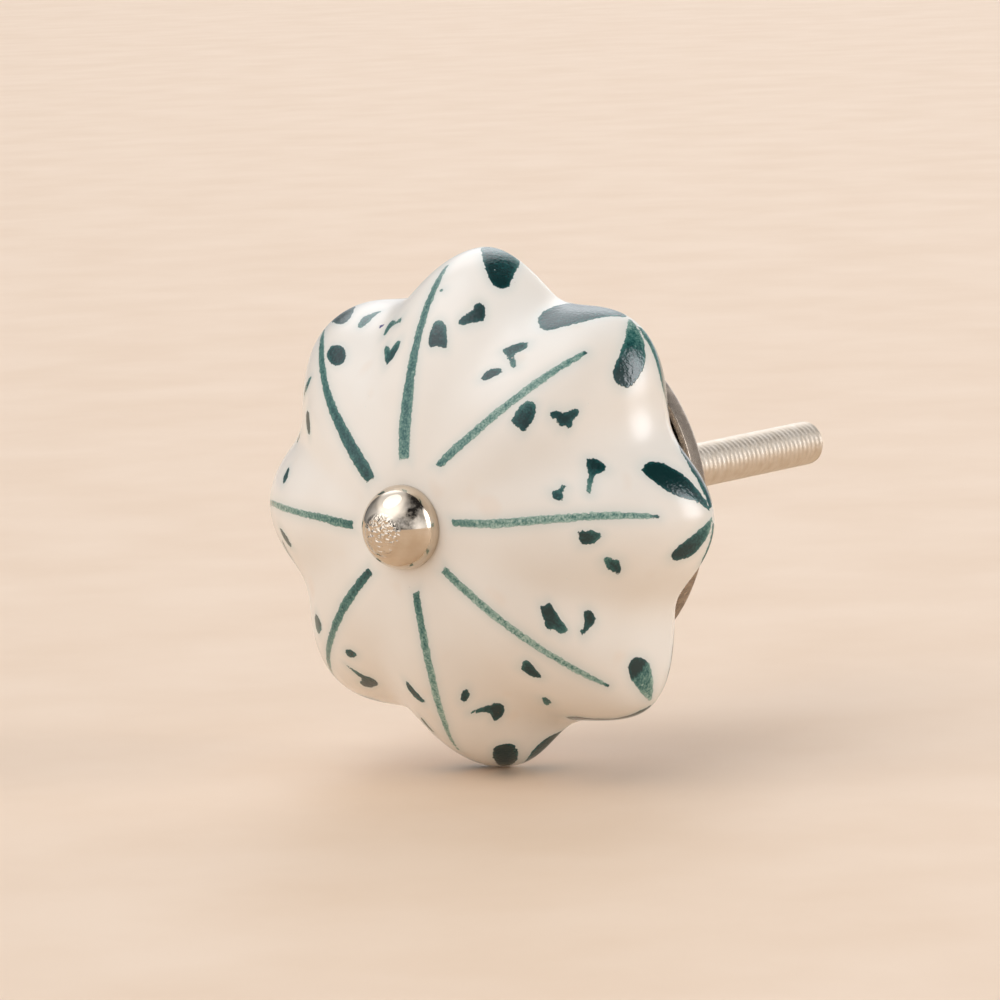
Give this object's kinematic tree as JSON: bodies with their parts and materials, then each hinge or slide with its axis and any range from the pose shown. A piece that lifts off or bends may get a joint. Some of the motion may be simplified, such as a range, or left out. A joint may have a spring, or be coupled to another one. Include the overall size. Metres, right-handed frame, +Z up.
{
  "type": "cabinet knob",
  "caption": "Lobed glazed ceramic knob with painted dabs, a domed metal nut in front, a sheet metal cup behind and a threaded rod that fixes it to a door or drawer.",
  "frame": {"origin": "centre of the cup's flat back, which meets the door or drawer front", "axes": "+Y along the knob's axis to the rear, the way the rod points; -Y is the front with the domed nut; +Z up through a lobe's crest"},
  "size_m": [0.045, 0.0657, 0.045],
  "materials": {
    "glazed_body": "glossy clear glaze over painted off-white ceramic",
    "polished_nickel": "polished nickel plate",
    "nickel_rod": "nickel plated rolled thread",
    "nickel_sheet": "nickel plated pressed sheet",
    "zinc_nut": "zinc plated steel"
  },
  "bodies": {
    "root": {"ceramic_body": "glazed_body", "dome_nut": "polished_nickel", "threaded_rod": "nickel_rod", "back_plate": "nickel_sheet", "lock_nut": "zinc_nut"}
  },
  "joints": []
}
